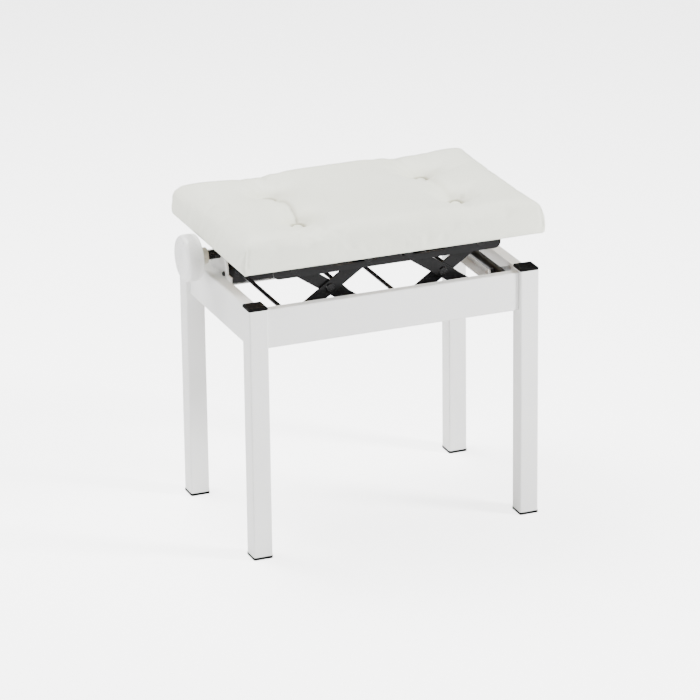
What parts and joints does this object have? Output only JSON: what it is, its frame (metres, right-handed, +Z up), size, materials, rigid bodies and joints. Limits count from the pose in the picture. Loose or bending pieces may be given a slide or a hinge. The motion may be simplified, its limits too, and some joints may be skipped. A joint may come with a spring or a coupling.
{
  "type": "piano bench",
  "caption": "Padded rectangular piano bench on four square legs, raised and lowered by a hand knob that turns a screw and opens a scissor lift.",
  "frame": {"origin": "on the floor, midway between the four legs", "axes": "+Z up, +X along the seat away from the hand knob, +Y from the front long side to the rear"},
  "size_m": [0.51, 0.31, 0.507],
  "materials": {
    "white_paint": "satin powder coat",
    "black_plastic": "matt moulded",
    "zinc_steel": "zinc plated",
    "black_paint": "semi-gloss black",
    "black_zinc": "black zinc plated",
    "ivory_nylon": "moulded nylon",
    "white_plastic": "gloss moulded",
    "leatherette": "smooth coated leather, satin",
    "plywood": "bare birch plywood"
  },
  "bodies": {
    "frame": {"leg_front_left": "white_paint", "leg_front_right": "white_paint", "leg_rear_left": "white_paint", "leg_rear_right": "white_paint", "front_apron": "white_paint", "rear_apron": "white_paint", "left_apron": "white_paint", "right_apron": "white_paint", "knob_bracket": "white_paint", "leg_caps": "black_plastic", "foot_front_left": "black_plastic", "foot_front_right": "black_plastic", "foot_rear_left": "black_plastic", "foot_rear_right": "black_plastic", "apron_bolts": "zinc_steel", "rivet_nuts": "zinc_steel", "tube_spacers": "zinc_steel", "front_base_rail": "black_paint", "rear_base_rail": "black_paint", "left_base_tube": "black_paint", "right_base_tube": "black_paint", "left_fixed_rod": "black_paint", "right_fixed_rod": "black_paint", "bearing_housing": "black_paint", "screw_sleeve": "black_paint", "tube_nuts": "black_zinc", "rod_clips": "black_zinc", "bracket_bolt": "black_zinc", "knob_bush": "ivory_nylon"},
    "outer_arms_left": {"front_left_outer_arm": "black_paint", "rear_left_outer_arm": "black_paint", "left_centre_rivets": "black_paint", "left_slide_pins": "black_paint"},
    "inner_arms_left": {"front_left_inner_arm": "black_paint", "rear_left_inner_arm": "black_paint", "left_sliding_rod": "black_paint", "left_slider_bushes": "ivory_nylon"},
    "outer_arms_right": {"front_right_outer_arm": "black_paint", "rear_right_outer_arm": "black_paint", "right_centre_rivets": "black_paint", "right_slide_pins": "black_paint"},
    "inner_arms_right": {"front_right_inner_arm": "black_paint", "rear_right_inner_arm": "black_paint", "right_sliding_rod": "black_paint", "right_slider_bushes": "ivory_nylon"},
    "seat": {"front_seat_rail": "black_paint", "rear_seat_rail": "black_paint", "outer_pins": "black_paint", "rail_screws": "black_zinc", "seat_board": "plywood", "cushion": "leatherette", "tuft_buttons": "leatherette"},
    "drive_carriage": {"drive_nut": "zinc_steel", "drive_plate": "black_paint", "plate_screws": "black_zinc"},
    "hand_screw": {"knob": "white_plastic", "lead_screw": "zinc_steel", "screw_collars": "zinc_steel"}
  },
  "joints": [
    {"name": "seat_lift", "type": "hinge", "parent": "frame", "child": "outer_arms_left", "pos_m": [-0.15, 0, 0.363], "axis": [0, -1, 0], "range_deg": [-7, 30]},
    {"name": "scissor_cross_left", "type": "hinge", "parent": "outer_arms_left", "child": "inner_arms_left", "pos_m": [-0.09125, 0, 0.403], "axis": [0, 1, 0], "range_deg": [-15, 61]},
    {"name": "seat_pivot_left", "type": "hinge", "parent": "inner_arms_left", "child": "seat", "pos_m": [-0.15, 0, 0.443], "axis": [0, -1, 0], "range_deg": [-8, 31]},
    {"name": "carriage_pivot", "type": "hinge", "parent": "inner_arms_left", "child": "drive_carriage", "pos_m": [-0.0325, 0, 0.363], "axis": [0, -1, 0], "range_deg": [-8, 31]},
    {"name": "base_pivot_right", "type": "hinge", "parent": "frame", "child": "outer_arms_right", "pos_m": [0.15, 0, 0.363], "axis": [0, 1, 0], "range_deg": [-8, 31]},
    {"name": "scissor_cross_right", "type": "hinge", "parent": "outer_arms_right", "child": "inner_arms_right", "pos_m": [0.09125, 0, 0.403], "axis": [0, -1, 0], "range_deg": [-15, 61]},
    {"name": "knob_turn", "type": "hinge", "parent": "frame", "child": "hand_screw", "pos_m": [0, 0.038, 0.4235], "axis": [-1, 0, 0], "range_deg": [-754, 3164]}
  ],
  "couplings": [
    {"joint": "scissor_cross_left", "follows": "seat_lift", "ratio": 2},
    {"joint": "seat_pivot_left", "follows": "seat_lift", "ratio": 1},
    {"joint": "carriage_pivot", "follows": "seat_lift", "ratio": 1},
    {"joint": "base_pivot_right", "follows": "seat_lift", "ratio": 1},
    {"joint": "scissor_cross_right", "follows": "seat_lift", "ratio": 2},
    {"joint": "knob_turn", "follows": "seat_lift", "ratio": 104.8}
  ]
}
